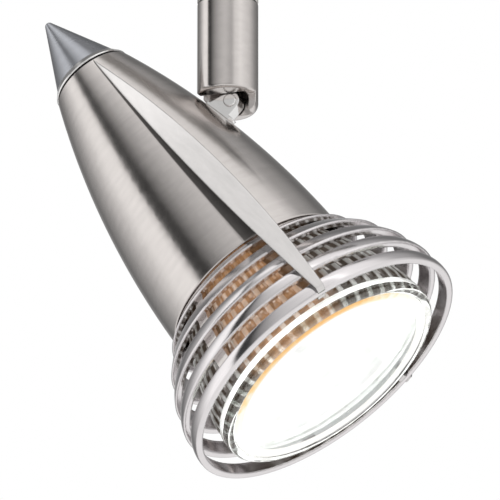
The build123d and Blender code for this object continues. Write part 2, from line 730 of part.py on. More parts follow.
def tail_gasket():
    """Dark rubber ring in the gap behind the shell."""
    return pipe(SHELL_REAR_R - 2 * LOOSE, TAIL_STUD_R, SHELL_START - TAIL_GAP, SHELL_START)


def tail_stud():
    end = SHELL_START + BULKHEAD + TAIL_NUT_HEIGHT + 1
    return rod(TAIL_STUD_R - TIGHT, CONE_LENGTH - TAIL_STUD_SINK + EASY, end)


def tail_nut():
    low = SHELL_START + BULKHEAD
    hexagon = Pos(0, 0, low) * extrude(RegularPolygon(TAIL_NUT_R, 6), TAIL_NUT_HEIGHT)
    return hexagon - rod(TAIL_STUD_R - TIGHT, low, low + TAIL_NUT_HEIGHT)


# ---------------------------------------------------------------- front cage
def flare(station):
    """Outside radius of the cage: a parabola that runs out level at its front."""
    share = (station - SHELL_END) / (CAGE_FRONT - SHELL_END)
    return SHELL_FRONT_R + (CAGE_FRONT_R - SHELL_FRONT_R) * (1 - (1 - share) ** 2)


def ring_span(number):
    """Rear and front stations of a ring; the first is a narrow one beside the shell."""
    if number == 1:
        return CAGE_START, FIRST_RING_END
    front = CAGE_FRONT - (RING_COUNT - number) * RING_PITCH
    return front - RING_PITCH + RING_GAP, front


def ring(number):
    """Ring that follows the flare: low at its rear, proud and rounded at its front."""
    rear, front = ring_span(number)
    bulge = FIRST_RING_BULGE if number == 1 else RING_BULGE
    outer_rear = flare(rear) - RING_STEP
    outer_front = flare(front)
    inner_rear = outer_rear - RING_THICKNESS + RING_STEP
    round_start = front - RING_EDGE_R
    middle = ((outer_rear + outer_front) / 2 + bulge, (rear + front) / 2)
    crown = RING_EDGE_R * (1 - cos(radians(45)))
    return turned(
        arc_between((outer_rear, rear), middle, (outer_front, round_start)),
        arc_between((outer_front, round_start), (outer_front - crown, front - crown),
                    (outer_front - RING_EDGE_R, front)),
        straight((outer_front - RING_EDGE_R, front), (outer_front - RING_THICKNESS, front)),
        straight((outer_front - RING_THICKNESS, front), (inner_rear, rear)),
        straight((inner_rear, rear), (outer_rear, rear)),
    )


def fin_ridge():
    """Side view of a fin: convex ridge above, cut away below where rings and shell are."""
    start = SHELL_START + FIN_START_GAP
    middle = (start + CAGE_FRONT) / 2
    start_r = shell_radius(FIN_START_GAP / SHELL_LENGTH) + FIN_START_PROUD
    middle_r = shell_radius((middle - SHELL_START) / SHELL_LENGTH) + FIN_MIDDLE_PROUD
    front_r = CAGE_FRONT_R + FIN_PROUD
    inner_front = CAGE_FRONT_R - FIN_FRONT_DEPTH
    inner_rear = SHELL_FRONT_R - FIN_REAR_DEPTH
    tip = CAGE_FRONT - FIN_TIP_CUT
    ridge = ThreePointArc((start, start_r), (middle, middle_r), (tip, front_r))
    lower = Polyline((tip, front_r), (CAGE_FRONT, front_r - FIN_TIP_CUT),
                     (CAGE_FRONT, inner_front), (FIRST_RING_END, inner_rear), (SHELL_END, inner_rear),
                     (start, start_r - FIN_START_DEPTH), (start, start_r))
    return make_face(Wire([*ridge.edges(), *lower.edges()]))


def fin_leaf():
    """Plan of a fin: a long leaf, widest short of its middle."""
    start = SHELL_START + FIN_START_GAP
    end = CAGE_FRONT + FIN_TIP_CUT
    widest = start + (CAGE_FRONT - start) * FIN_WIDEST
    half = FIN_WIDTH / 2
    tip = FIN_TIP_WIDTH / 2
    left = Spline((start, 0), (widest, half), (end, tip))
    right = Spline((start, 0), (widest, -half), (end, -tip))
    across = Line((end, tip), (end, -tip))
    return make_face(Wire([*left.edges(), *across.edges(), *right.edges()]))


def fin(angle, rings):
    side_plane = Plane(origin=(0, -FIN_WIDTH, 0), x_dir=(0, 0, 1), z_dir=(0, 1, 0))
    side = extrude(side_plane * fin_ridge(), 2 * FIN_WIDTH)
    plan_plane = Plane(origin=(0, 0, 0), x_dir=(0, 0, 1), z_dir=(1, 0, 0))
    plan = extrude(plan_plane * fin_leaf(), 2 * CAGE_FRONT_R)
    blade = Rot(0, 0, angle) * (side & plan)
    blade = blade - shell_outside(0.0)
    for one in rings:
        blade = blade - one
    return largest(blade)


def largest(shape):
    """The biggest solid of a shape, without the slivers that a cut can leave."""
    return shape.solids().sort_by(SortBy.VOLUME)[-1]


def strut(angle, rings):
    """Flat tie inside the rings, from the shell's mouth to the front ring."""
    outer = RING_THICKNESS - STRUT_OVERLAP
    inner = outer + STRUT_THICKNESS
    rear = SHELL_END - STRUT_ROOT
    front = CAGE_FRONT - STRUT_FRONT_GAP
    stations = [SHELL_END, (SHELL_END + front) / 2, front]
    above = [(flare(s) - outer, s) for s in stations]
    below = [(flare(s) - inner, s) for s in stations]
    rear_r = above[0][0] - STRUT_ROOT_STEP
    section = [
        straight((rear_r, rear), above[0]),
        arc_between(*above),
        straight(above[2], below[2]),
        arc_between(below[2], below[1], below[0]),
        straight(below[0], (rear_r - STRUT_THICKNESS, rear)),
        straight((rear_r - STRUT_THICKNESS, rear), (rear_r, rear)),
    ]
    tie = sector(turned(*section), angle, STRUT_SWEEP)
    tie = tie - (shell_outside(0.0) - shell_outside(-SHELL_WALL, extra=0.01))
    for one in rings:
        tie = tie - one
    return largest(tie)


# ---------------------------------------------------------------- lamp holder
def pin_path(half_width, low, high, start, sweep):
    """Bent slot along the pins' circle from one angle through a sweep, with round ends."""
    radius = PIN_SPACING / 2
    band = pipe(radius + half_width, radius - half_width, low, high)
    middle = start + sweep / 2
    path = sector(band, middle, sweep)
    for angle in (start, start + sweep):
        x, y = radius * cos(radians(angle)), radius * sin(radians(angle))
        path = path + rod(half_width, low, high, x, y)
    return path


def pin_slots():
    """Both keyhole slots, and the room behind them for the pins' heads."""
    cuts = []
    room = PIN_HEAD_R + PIN_HEAD_EDGE
    for side in (0, 180):
        cuts.append(pin_path(room, PIN_ROOM_REAR, HOLDER_FRONT - HOLDER_WALL, side, TWIST))
        cuts.append(pin_path(PIN_NECK_R + LOOSE, PIN_ROOM_REAR, HOLDER_FRONT + 1, side, TWIST))
        end = radians(side + TWIST)
        x, y = PIN_SPACING / 2 * cos(end), PIN_SPACING / 2 * sin(end)
        cuts.append(rod(room, PIN_ROOM_REAR, HOLDER_FRONT + 1, x, y))
    return cuts


def holder_screw_places():
    return [(0, -HOLDER_SCREW_Y), (0, HOLDER_SCREW_Y)]


def lampholder_body():
    body = rod(HOLDER_R, HOLDER_REAR + HOLDER_COVER, HOLDER_FRONT)
    rim = body.edges().sort_by(Axis.Z)[-1]
    body = fillet(rim, HOLDER_EDGE_R)
    for cut in pin_slots():
        body = body - cut
    screw_end = HOLDER_REAR + HOLDER_COVER + HOLDER_SCREW_BITE + LOOSE
    for x, y in holder_screw_places():
        body = body - rod(SMALL_SCREW_R + TIGHT, HOLDER_REAR, screw_end, x, y)
    for y in lead_offsets():
        body = body - rod(LEAD_R + EASY, HOLDER_REAR, PIN_ROOM_REAR + 1, LEAD_START_X, y)
    return body


def lampholder_cover():
    cover = rod(HOLDER_R - LOOSE, HOLDER_REAR, HOLDER_REAR + HOLDER_COVER)
    cover = fillet(cover.edges().sort_by(Axis.Z)[0], HOLDER_EDGE_R)
    for x, y in holder_screw_places():
        cover = cover - rod(SMALL_SCREW_R + TIGHT, HOLDER_REAR, HOLDER_REAR + HOLDER_COVER, x, y)
    for y in lead_offsets():
        cover = cover - rod(LEAD_R + EASY, HOLDER_REAR, HOLDER_REAR + HOLDER_COVER, LEAD_START_X, y)
    return cover


def lampholder_contacts():
    """Brass spring plates that the lamp's pins press on."""
    plates = []
    for side in (0, 180):
        plates.append(pin_path(PIN_HEAD_R, PIN_ROOM_REAR, PIN_ROOM_REAR + CONTACT_PLATE, side, TWIST))
    return Compound(children=[solid_of(plate) for plate in plates])


def holder_bracket():
    """Sheet-steel plate wedged in the shell's taper behind the holder."""
    plate = rod(2 * SHELL_FRONT_R, BRACKET_REAR, HOLDER_REAR) & shell_outside(-SHELL_WALL - RUNNING)
    plate = plate - rod(BRACKET_HOLE_R, BRACKET_REAR - 1, HOLDER_REAR + 1)
    half = BRACKET_NOTCH / 2
    plate = plate - block(HOLDER_R - 1, 2 * SHELL_FRONT_R, -half, half, BRACKET_REAR - 1, HOLDER_REAR + 1)
    for x, y in holder_screw_places():
        plate = plate - rod(SMALL_SCREW_R + EASY, BRACKET_REAR - 1, HOLDER_REAR + 1, x, y)
    return plate


def bracket_screws():
    screws = []
    for x, y in holder_screw_places():
        low = BRACKET_REAR - SMALL_SCREW_HEAD
        head = rod(SMALL_SCREW_HEAD_R, low, BRACKET_REAR, x, y)
        shank = rod(SMALL_SCREW_R, low, HOLDER_REAR + HOLDER_COVER + HOLDER_SCREW_BITE, x, y)
        screws.append(solid_of(slotted(head + shank, SMALL_SCREW_HEAD_R, low, x, y)))
    return Compound(children=screws)


# ---------------------------------------------------------------- leads
def lead_offsets():
    return (-LEAD_SPREAD, LEAD_SPREAD)


def bend_radii(points):
    """Largest tidy radius at each corner: 0.45 of the shorter run over tan(turn / 2)."""
    radii = []
    for before, corner, after in zip(points, points[1:], points[2:]):
        first, second = corner - before, after - corner
        turn = radians(first.get_angle(second))
        radii.append(0.45 * min(first.length, second.length) / tan(turn / 2))
    return radii


def lead_hole_station():
    """Station of the two lead holes, under the tail end of the lug's foot."""
    return PIVOT_STATION - FOOT_LENGTH / 2 + LEAD_R + FOOT_MARGIN


def head_lead(y):
    """Lead from the holder, back round the bracket and up into its hole in the shell."""
    up_station = lead_hole_station()
    surface = shell_radius((up_station - SHELL_START) / SHELL_LENGTH)
    behind = BRACKET_REAR - LEAD_BEHIND
    beside = shell_radius((behind - SHELL_START) / SHELL_LENGTH) - SHELL_WALL - LEAD_BESIDE
    points = [
        Vector(LEAD_START_X, y, HOLDER_REAR + LEAD_TAIL),
        Vector(LEAD_START_X, y, behind),
        Vector(beside, y, behind),
        Vector(surface - SHELL_WALL - LEAD_BESIDE, y, up_station),
        Vector(surface - LOOSE, y, up_station),
    ]
    path = FilletPolyline(*points, radius=bend_radii(points))
    section = Plane(origin=points[0], z_dir=path % 0) * Circle(LEAD_R)
    return sweep(section, path)


def stem_lead(x):
    """Lead hanging straight down the stem from the terminal block's side."""
    return rod(LEAD_R, PIVOT.Z + 1.5 * SLOT_R, TRAY_BOTTOM + STEM_LEAD_RISE, x)


# ---------------------------------------------------------------- lamp
def lamp_outline(grow):
    """Reflector's bowl as three (radius, station) points, moved in or out."""
    neck = (LAMP_NECK_R + grow, LAMP_BASE_FRONT)
    rim = (LAMP_R - LAMP_EDGE + grow, LAMP_FRONT - LAMP_RIM)
    middle_station = LAMP_BASE_FRONT + 0.46 * (rim[1] - neck[1])
    middle = (LAMP_NECK_R + 0.62 * (LAMP_R - LAMP_NECK_R) + grow, middle_station)
    return neck, middle, rim


def lamp_reflector():
    neck, middle, rim = lamp_outline(0.0)
    in_neck, in_middle, in_rim = lamp_outline(-LAMP_WALL)
    seat = LAMP_FRONT - LAMP_GLASS - EASY
    inner = LAMP_R - LAMP_RIM_WIDTH
    return turned(
        arc_between(neck, middle, rim),
        straight(rim, (LAMP_R, rim[1] + LAMP_EDGE)),
        straight((LAMP_R, rim[1] + LAMP_EDGE), (LAMP_R, LAMP_FRONT - LAMP_EDGE)),
        straight((LAMP_R, LAMP_FRONT - LAMP_EDGE), (LAMP_R - LAMP_EDGE, LAMP_FRONT)),
        straight((LAMP_R - LAMP_EDGE, LAMP_FRONT), (inner, LAMP_FRONT)),
        straight((inner, LAMP_FRONT), (inner, seat)),
        straight((inner, seat), (in_rim[0], seat)),
        straight((in_rim[0], seat), in_rim),
        arc_between(in_rim, in_middle, in_neck),
        straight(in_neck, neck),
    )


def lamp_front_glass():
    """Cover glass inside the reflector's rim, with its edge turned back."""
    seat = LAMP_FRONT - LAMP_GLASS - RUNNING
    face = LAMP_FRONT - 2 * EASY
    outer = LAMP_R - LAMP_RIM_WIDTH - RUNNING
    return turned_points([(0, seat), (outer, seat), (outer, face - LAMP_GLASS_BEVEL / 2),
                          (outer - LAMP_GLASS_BEVEL, face), (0, face)])


def lamp_capsule():
    low = LAMP_BASE_FRONT - CAPSULE_SINK
    high = low + CAPSULE_LENGTH
    glass = rod(CAPSULE_R, low, high)
    glass = fillet(glass.edges().sort_by(Axis.Z)[-1], CAPSULE_ROUND)
    return glass - rod(CAPSULE_BORE_R, low + CAPSULE_FOOT, high - CAPSULE_CROWN)


def lamp_filament():
    return rod(FILAMENT_R, FILAMENT_LOW, FILAMENT_LOW + FILAMENT_LENGTH)


def lamp_base():
    """Ceramic base: round where it meets the bowl, flat-backed, with two pin bosses."""
    body = turned_points([(0, LAMP_BASE_REAR), (LAMP_BASE_R - LAMP_BASE_EDGE, LAMP_BASE_REAR),
                          (LAMP_BASE_R, LAMP_BASE_REAR + LAMP_BASE_EDGE),
                          (LAMP_NECK_R, LAMP_BASE_FRONT), (0, LAMP_BASE_FRONT)])
    body = body - rod(CAPSULE_R, LAMP_BASE_FRONT - CAPSULE_SINK, LAMP_BASE_FRONT + 1)
    return body - rods_at_pins(PIN_NECK_R, LAMP_BASE_REAR - 1, LAMP_BASE_REAR + PIN_ROOT)


def rods_at_pins(radius, low, high):
    side = PIN_SPACING / 2
    return rod(radius, low, high, side) + rod(radius, low, high, -side)


def lamp_pins():
    pins = []
    for side in (-1, 1):
        x = side * PIN_SPACING / 2
        neck = rod(PIN_NECK_R, PIN_TIP + PIN_HEAD_EDGE, LAMP_BASE_REAR + PIN_ROOT, x)
        head = rod(PIN_HEAD_R, PIN_TIP, PIN_TIP + PIN_HEAD_LENGTH, x)
        head = chamfer(head.edges().sort_by(Axis.Z)[0], PIN_HEAD_EDGE)
        pins.append(solid_of(neck + head))
    return Compound(children=pins)


# ---------------------------------------------------------------- assembly
def adapter_parts():
    parts = {
        "adapter_cover": adapter_cover(),
        "adapter_tray": adapter_tray(),
        "housing_screws": housing_screws(),
        "terminal_block": terminal_block(),
        "terminal_screws": terminal_screws(),
        "lock_rotor": lock_rotor(),
        "lock_lever": lock_lever(),
        "lever_screw": lever_screw(),
    }
    for name, place in contact_places():
        parts[name] = place * contact_strip()
    return parts


def stem_parts():
    return {
        "upper_stem": upper_stem(),
        "stem_collar": stem_collar(),
        "stem_locknut": stem_locknut(),
        "pan_stop_screw": pan_stop_screw(),
        "pan_bush": pan_bush(),
        "pan_washer": pan_washer(),
        "pan_spring": pan_spring(),
        "pan_nut": pan_nut(),
        "swivel_barrel": swivel_barrel(),
        "pivot_screw": pivot_screw(),
        "friction_washer": friction_washer(),
        "stem_lead_live": stem_lead(-STEM_LEAD_X),
        "stem_lead_neutral": stem_lead(STEM_LEAD_X),
    }


def head_parts():
    """All parts of the head, built upright on its own axis."""
    rings = [ring(number) for number in range(1, RING_COUNT + 1)]
    parts = {
        "swivel_lug": swivel_lug(),
        "lug_screw": lug_screw(),
        "shell": shell(),
        "tail_cone": tail_cone(),
        "tail_collar": tail_collar(),
        "tail_gasket": tail_gasket(),
        "tail_stud": tail_stud(),
        "tail_nut": tail_nut(),
        "fin_near": fin(FIN_ANGLE, rings),
        "fin_far": fin(-FIN_ANGLE, rings),
        "strut_near": strut(STRUT_ANGLE, rings),
        "strut_far": strut(-STRUT_ANGLE, rings),
        "holder_bracket": holder_bracket(),
        "bracket_screws": bracket_screws(),
        "lampholder_body": lampholder_body(),
        "lampholder_cover": lampholder_cover(),
        "lampholder_contacts": lampholder_contacts(),
        "head_lead_live": head_lead(LEAD_SPREAD),
        "head_lead_neutral": head_lead(-LEAD_SPREAD),
        "lamp_reflector": lamp_reflector(),
        "lamp_front_glass": lamp_front_glass(),
        "lamp_capsule": lamp_capsule(),
        "lamp_filament": lamp_filament(),
        "lamp_base": lamp_base(),
        "lamp_pins": lamp_pins(),
    }
    for number, one in enumerate(rings, start=1):
        parts[f"ring_{number}"] = one
    return {name: HEAD * part for name, part in parts.items()}


def main():
    os.makedirs("parts", exist_ok=True)
    parts = {**adapter_parts(), **stem_parts(), **head_parts()}
    for name, part in parts.items():
        export_step(part, f"parts/{name}.step")
    print(len(parts), "parts")


main()
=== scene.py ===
import json
from math import cos, pi, radians, sin, tau

import bmesh
import bpy
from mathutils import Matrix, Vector


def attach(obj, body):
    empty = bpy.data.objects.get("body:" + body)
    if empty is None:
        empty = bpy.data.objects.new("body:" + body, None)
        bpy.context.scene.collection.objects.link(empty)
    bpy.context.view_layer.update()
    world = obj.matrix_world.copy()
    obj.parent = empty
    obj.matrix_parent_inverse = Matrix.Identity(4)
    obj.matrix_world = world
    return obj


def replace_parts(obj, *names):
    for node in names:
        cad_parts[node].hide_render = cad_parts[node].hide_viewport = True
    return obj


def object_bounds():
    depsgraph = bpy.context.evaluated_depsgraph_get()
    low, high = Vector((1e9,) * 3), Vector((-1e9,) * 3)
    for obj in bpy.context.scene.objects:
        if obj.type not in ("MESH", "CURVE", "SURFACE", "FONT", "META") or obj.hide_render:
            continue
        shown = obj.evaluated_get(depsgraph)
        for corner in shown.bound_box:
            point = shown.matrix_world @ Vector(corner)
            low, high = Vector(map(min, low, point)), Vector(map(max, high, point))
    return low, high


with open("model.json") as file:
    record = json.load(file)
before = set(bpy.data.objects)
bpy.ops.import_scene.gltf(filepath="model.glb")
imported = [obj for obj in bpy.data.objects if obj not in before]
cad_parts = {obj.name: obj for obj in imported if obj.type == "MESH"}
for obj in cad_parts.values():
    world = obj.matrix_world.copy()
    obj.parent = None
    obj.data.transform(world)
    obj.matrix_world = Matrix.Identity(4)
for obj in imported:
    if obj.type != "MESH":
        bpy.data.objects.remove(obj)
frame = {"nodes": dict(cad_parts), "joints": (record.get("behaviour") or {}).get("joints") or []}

CAD_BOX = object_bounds()
MM = 0.001

# ---------------------------------------------------------------- places read from the frame
JOINTS = {joint["name"]: joint for joint in frame["joints"]}
PIVOT = Vector(JOINTS["tilt"]["pos_m"])
FORWARD = Vector(JOINTS["lamp_twist"]["axis"]).normalized()
HEAD_POINT = Vector(JOINTS["lamp_twist"]["pos_m"])
TOP = Vector((-FORWARD.z, 0, FORWARD.x))
NEAR = Vector((0, -1, 0))
UP = Vector((0, 0, 1))
STEM_POINT = Vector((0, 0, 0))


def head_profile(node):
    """(station, radius) of every vertex of a node about the head's axis."""
    pairs = []
    for vertex in frame["nodes"][node].data.vertices:
        along = (vertex.co - HEAD_POINT).dot(FORWARD)
        pairs.append((along, (vertex.co - HEAD_POINT - FORWARD * along).length))
    return pairs


def head_span(node):
    """Rear and front of a node along the head's axis, and its greatest radius about it."""
    stations, radii = zip(*head_profile(node))
    return min(stations), max(stations), max(radii)


def head_place(station, radius, angle):
    """Point at a station, a radius and an angle from the head's top towards its near side."""
    return HEAD_POINT + FORWARD * station + TOP * (radius * cos(angle)) + NEAR * (radius * sin(angle))


# ---------------------------------------------------------------- camera
VIEW_AZIMUTH = 18.0
VIEW_ELEVATION = -19.0
VIEW_DISTANCE = 1.5
VIEW_WIDTH = 0.10195
VIEW_OFFSET = Vector((0.4, 10.4, -28.3)) * MM
SENSOR_WIDTH = 36.0


def make_camera():
    a, e = radians(VIEW_AZIMUTH), radians(VIEW_ELEVATION)
    back = Vector((sin(a) * cos(e), -cos(a) * cos(e), sin(e)))
    data = bpy.data.cameras.new("camera")
    data.sensor_width = SENSOR_WIDTH
    data.lens = data.sensor_width * VIEW_DISTANCE / VIEW_WIDTH
    data.clip_start, data.clip_end = 0.01, 50.0
    camera = bpy.data.objects.new("camera", data)
    bpy.context.scene.collection.objects.link(camera)
    camera.rotation_mode = "QUATERNION"
    camera.location = PIVOT + VIEW_OFFSET + back * VIEW_DISTANCE
    camera.rotation_quaternion = (-back).to_track_quat("-Z", "Y")
    bpy.context.scene.camera = camera
    return back


TO_CAMERA = make_camera()


# ---------------------------------------------------------------- node building
class Graph:
    """A node tree with short calls for the nodes that the materials use."""

    def __init__(self, tree):
        self.tree = tree
        self.tree.nodes.clear()

    def add(self, kind, **settings):
        node = self.tree.nodes.new(kind)
        for name, value in settings.items():
            setattr(node, name, value)
        return node

    def put(self, socket, value):
        """Link a socket, or set a plain value."""
        if isinstance(value, bpy.types.NodeSocket):
            self.tree.links.new(value, socket)
        elif value is not None:
            socket.default_value = value

    def math(self, operation, a, b=None, c=None, clamp=False):
        node = self.add("ShaderNodeMath", operation=operation, use_clamp=clamp)
        for socket, value in zip(node.inputs, (a, b, c)):
            self.put(socket, value)
        return node.outputs[0]

    def vector(self, operation, a, b=None):
        node = self.add("ShaderNodeVectorMath", operation=operation)
        self.put(node.inputs[0], a)
        if operation == "SCALE":
            self.put(node.inputs["Scale"], b)
        else:
            self.put(node.inputs[1], b)
        return node.outputs["Value"] if operation in ("DOT_PRODUCT", "LENGTH") else node.outputs[0]

    def noise(self, vector, scale=1.0, detail=2.0, roughness=0.5):
        node = self.add("ShaderNodeTexNoise")
        self.put(node.inputs["Vector"], vector)
        node.inputs["Scale"].default_value = scale
        node.inputs["Detail"].default_value = detail
        node.inputs["Roughness"].default_value = roughness
        return node.outputs["Fac"]

    def span(self, value, low, high, to_low=0.0, to_high=1.0, smooth=False):
        node = self.add("ShaderNodeMapRange")
        node.interpolation_type = "SMOOTHSTEP" if smooth else "LINEAR"
        for socket, item in zip(node.inputs, (value, low, high, to_low, to_high)):
            self.put(socket, item)
        return node.outputs[0]

    def ramp(self, value, stops, interpolation="LINEAR"):
        """Colour ramp from (place, colour) stops; a plain number is a grey."""
        node = self.add("ShaderNodeValToRGB")
        node.color_ramp.interpolation = interpolation
        elements = node.color_ramp.elements
        while len(elements) < len(stops):
            elements.new(0.5)
        for element, (place, colour) in zip(elements, stops):
            element.position = place
            grey = not isinstance(colour, tuple)
            element.color = (colour, colour, colour, 1) if grey else (*colour, 1)
        self.put(node.inputs[0], value)
        return node.outputs[0]

    def mix(self, share, a, b, blend="MIX"):
        node = self.add("ShaderNodeMix", data_type="RGBA", blend_type=blend)
        colours = [socket for socket in node.inputs if socket.type == "RGBA"]
        self.put(node.inputs[0], share)
        for socket, value in zip(colours, (a, b)):
            self.put(socket, (*value, 1) if isinstance(value, tuple) else value)
        return [socket for socket in node.outputs if socket.type == "RGBA"][0]

    def bump(self, height, strength, distance, edge=0.0):
        """Bumped normal; with an edge radius, sharp corners also shade as if rounded."""
        node = self.add("ShaderNodeBump")
        node.inputs["Strength"].default_value = strength
        node.inputs["Distance"].default_value = distance
        self.put(node.inputs["Height"], height)
        if edge:
            rounded = self.add("ShaderNodeBevel", samples=6)
            rounded.inputs["Radius"].default_value = edge
            self.put(node.inputs["Normal"], rounded.outputs[0])
        return node.outputs[0]

    def place(self):
        """Position in the row frame at rest, which stays with the piece at every pose."""
        return self.add("ShaderNodeTexCoord").outputs["Object"]


class Around:
    """Cylinder coordinates about an axis, as sockets: along, radius and outward direction."""

    def __init__(self, graph, point, axis):
        position = graph.vector("SUBTRACT", graph.place(), tuple(point))
        self.axis = tuple(axis)
        self.along = graph.vector("DOT_PRODUCT", position, self.axis)
        axial = graph.vector("SCALE", self.axis, self.along)
        self.flat = graph.vector("SUBTRACT", position, axial)
        self.radius = graph.vector("LENGTH", self.flat)
        self.outward = graph.vector("NORMALIZE", self.flat)


def brush_lines(graph, around, direction, line):
    """Coordinates in which brush lines of a width run round, or along, an axis."""
    if direction == "round":
        along = graph.vector("SCALE", around.axis, graph.math("DIVIDE", around.along, line))
        turn = graph.vector("SCALE", around.outward, 2.5)
        return graph.vector("ADD", turn, along)
    across = graph.vector("SCALE", around.flat, 1 / line)
    along = graph.vector("SCALE", around.axis, graph.math("DIVIDE", around.along, 60 * line))
    return graph.vector("ADD", across, along)


def new_material(name):
    material = bpy.data.materials.new(name)
    material.use_nodes = True
    return material, Graph(material.node_tree)


def principled(graph, **values):
    """Principled shader on the output; keys are the socket names with _ for spaces."""
    shader = graph.add("ShaderNodeBsdfPrincipled")
    for key, value in values.items():
        graph.put(shader.inputs[key.replace("_", " ")], value)
    output = graph.add("ShaderNodeOutputMaterial")
    graph.tree.links.new(shader.outputs[0], output.inputs[0])
    return shader


def four(colour):
    return (*colour, 1.0)


# ---------------------------------------------------------------- metals
HEAD_AXIS = (HEAD_POINT, FORWARD)
LAMP_RADIUS = head_span("lamp_reflector")[2]
STEM_AXIS = (STEM_POINT, UP)


def brushed(name, colour, roughness, axis=HEAD_AXIS, direction="round", line=0.25, stretch=0.6,
            depth=0.05, mottle=0.03, edge=0.0, painted_flank_shade=1.0):
    """Plated metal with fine brush lines, a soft mottle and lengthwise stretched gloss.

    Faces that look round the axis, such as the flanks of a fin, get a painted shade: their colour is
    darkened by the given factor."""
    material, graph = new_material(name)
    around = Around(graph, *axis)
    lines = graph.noise(brush_lines(graph, around, direction, line * MM), 1.0, 3.0, 0.65)
    coarse = graph.noise(brush_lines(graph, around, direction, 5 * line * MM), 1.0, 2.0)
    cloud = graph.noise(graph.place(), 160.0, 2.0)
    shade = graph.math("MULTIPLY_ADD", lines, 0.09, 1.0 - 0.045)
    shade = graph.math("MULTIPLY", shade, graph.span(coarse, 0.3, 0.7, 1 - mottle, 1 + mottle))
    shade = graph.math("MULTIPLY", shade, graph.span(cloud, 0.3, 0.7, 0.98, 1.02))
    # painted shade: faces that look round the axis, such as fin flanks, are darkened
    if painted_flank_shade < 1.0:
        sideways = graph.vector("CROSS_PRODUCT", around.outward, around.axis)
        normal = graph.add("ShaderNodeTexCoord").outputs["Normal"]
        turned = graph.math("ABSOLUTE", graph.vector("DOT_PRODUCT", normal, sideways))
        shade = graph.math("MULTIPLY", shade, graph.span(turned, 0.75, 0.92, 1.0, painted_flank_shade, smooth=True))
    tint = graph.vector("SCALE", colour, shade)
    rough = graph.math("MULTIPLY_ADD", lines, 0.06, roughness - 0.03)
    rough = graph.math("ADD", rough, graph.span(cloud, 0.3, 0.7, -0.012, 0.012))
    shader = principled(graph, Base_Color=tint, Roughness=rough, Metallic=1.0,
                        Normal=graph.bump(lines, depth, 0.03 * MM, edge))
    shader.inputs["Anisotropic"].default_value = stretch
    turn = graph.add("ShaderNodeVectorTransform", vector_type="VECTOR", convert_from="OBJECT",
                     convert_to="WORLD")
    turn.inputs[0].default_value = tuple(axis[1])
    graph.put(shader.inputs["Tangent"], turn.outputs[0])
    return material


def bright_metal(name, colour, roughness, edge=0.0):
    """Polished plating with faint polishing swirls."""
    material, graph = new_material(name)
    swirl = graph.noise(graph.place(), 900.0, 3.0)
    fine = graph.noise(graph.place(), 6000.0, 2.0)
    tint = graph.vector("SCALE", colour, graph.math("MULTIPLY_ADD", swirl, 0.08, 0.96))
    rough = graph.math("MULTIPLY_ADD", fine, 0.08, roughness - 0.03)
    principled(graph, Base_Color=tint, Roughness=rough, Metallic=1.0,
               Normal=graph.bump(swirl, 0.04, 0.02 * MM, edge))
    return material


def moulded(name, colour, roughness, grain=0.25, depth=0.3, specular=0.5):
    """Plastic or ceramic with a fine moulded grain and slight colour drift."""
    material, graph = new_material(name)
    fine = graph.noise(graph.place(), 1000.0 / grain, 2.0, 0.6)
    cloud = graph.noise(graph.place(), 70.0, 3.0)
    shade = graph.math("MULTIPLY_ADD", fine, 0.10, 0.95)
    shade = graph.math("MULTIPLY", shade, graph.span(cloud, 0.3, 0.7, 0.96, 1.04))
    rough = graph.math("MULTIPLY_ADD", fine, 0.14, roughness - 0.07)
    shader = principled(graph, Base_Color=graph.vector("SCALE", colour, shade), Roughness=rough,
                        Normal=graph.bump(fine, depth, 0.06 * MM))
    shader.inputs["Specular IOR Level"].default_value = specular
    return material


# ---------------------------------------------------------------- glass and light
RIB_COUNT = 44
RIB_HEIGHT = 0.55 * MM
DIMPLE_ROWS = 7
DIMPLE_DEPTH = 0.35 * MM
GLASS_WALL = 1.8 * MM
RIM_LENGTH = 3.4 * MM
FACET_COLUMNS = 32
FACET_ROWS = 9
FACET_INSET = 0.5 * MM
FACET_END_DEPTH = 2.2 * MM
FACET_GAP = 0.15 * MM
FACET_THICKNESS = 0.1 * MM
BOWL_ROWS = 56
LINING_ROWS = 24
OUTLINE_STEPS = 24
OUTLINE_SLOPE = 0.6
SMOOTH_COLUMNS = 160
RIM_LAND = 1.3 * MM
RIM_EDGE_R = 0.7 * MM
RIM_EDGE_STEPS = 6
GLASS_SEAT_DEPTH = 2.0 * MM
# size of the flat ring of painted glow over the cover glass's edge, standing for light caught in the
# rim
PAINTED_RING_FRONT = 0.16 * MM
PAINTED_RING_BACK = 0.26 * MM
PAINTED_RING_OUTER = 1.75 * MM
PAINTED_RING_INNER = 3.9 * MM
GLOW_OUTER = 1.8 * MM
FILAMENT_TURNS = 11
FILAMENT_STEPS = 14
FILAMENT_COIL_R = 0.75 * MM
FILAMENT_WIRE_R = 0.14 * MM


def clear_glass(name, colour, roughness=0.02):
    material, graph = new_material(name)
    ripple = graph.noise(graph.place(), 350.0, 2.0)
    fine = graph.noise(graph.place(), 3000.0, 2.0)
    tint = graph.mix(graph.span(ripple, 0.35, 0.65), colour, (0.97, 0.98, 0.98))
    rough = graph.math("MULTIPLY_ADD", fine, 0.03, roughness)
    shader = principled(graph, Base_Color=tint, Roughness=rough,
                        Normal=graph.bump(ripple, 0.12, 0.15 * MM))
    shader.inputs["Transmission Weight"].default_value = 1.0
    shader.inputs["IOR"].default_value = 1.47
    return material


